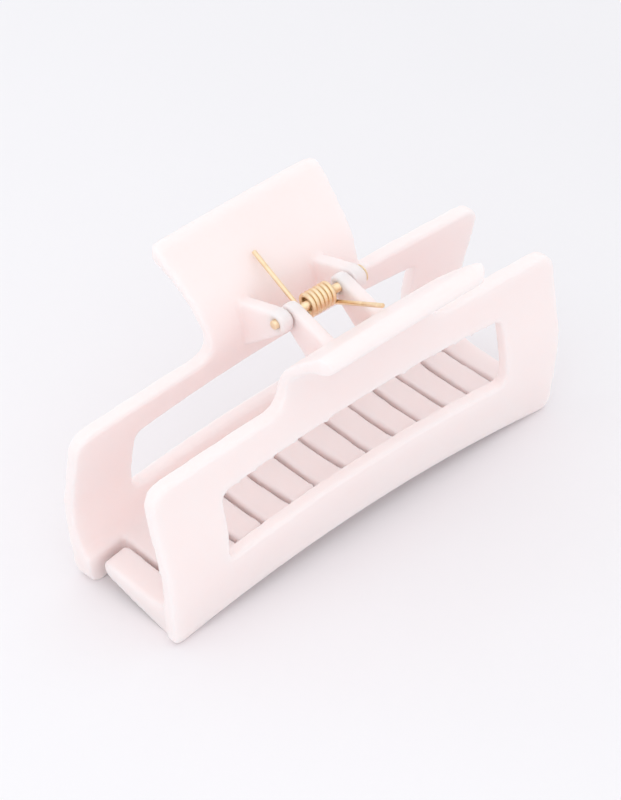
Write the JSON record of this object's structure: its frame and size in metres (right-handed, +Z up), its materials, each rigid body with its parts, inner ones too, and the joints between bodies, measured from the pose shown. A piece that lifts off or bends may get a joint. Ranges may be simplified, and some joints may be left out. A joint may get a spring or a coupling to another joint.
{
  "type": "hair claw clip",
  "caption": "Large rectangular hair claw clip: two arched frame jaws with thumb tabs, sprung about a headed pin, teeth that interleave underneath.",
  "frame": {"origin": "under the middle of the closed clip, on the plane it stands on", "axes": "+X along the clip towards the pin's head, +Y towards the moving rear jaw, +Z up from the teeth to the thumb tabs"},
  "size_m": [0.109, 0.052, 0.0605],
  "materials": {
    "frosted_plastic": "satin, milky translucent pale pink moulded plastic",
    "gold_plating": "polished gold-tone plated steel"
  },
  "bodies": {
    "front": {"front_jaw": "frosted_plastic", "hinge_pin": "gold_plating", "torsion_spring": "gold_plating"},
    "rear": {"rear_jaw": "frosted_plastic"}
  },
  "joints": [
    {"name": "jaw_hinge", "type": "hinge", "parent": "front", "child": "rear", "pos_m": [0, 0, 0.04948], "axis": [1, 0, 0], "range_deg": [0, 60], "stiffness_Nm_per_rad": 0.12, "springref_deg": -51.57, "deforming": ["torsion_spring"]}
  ]
}
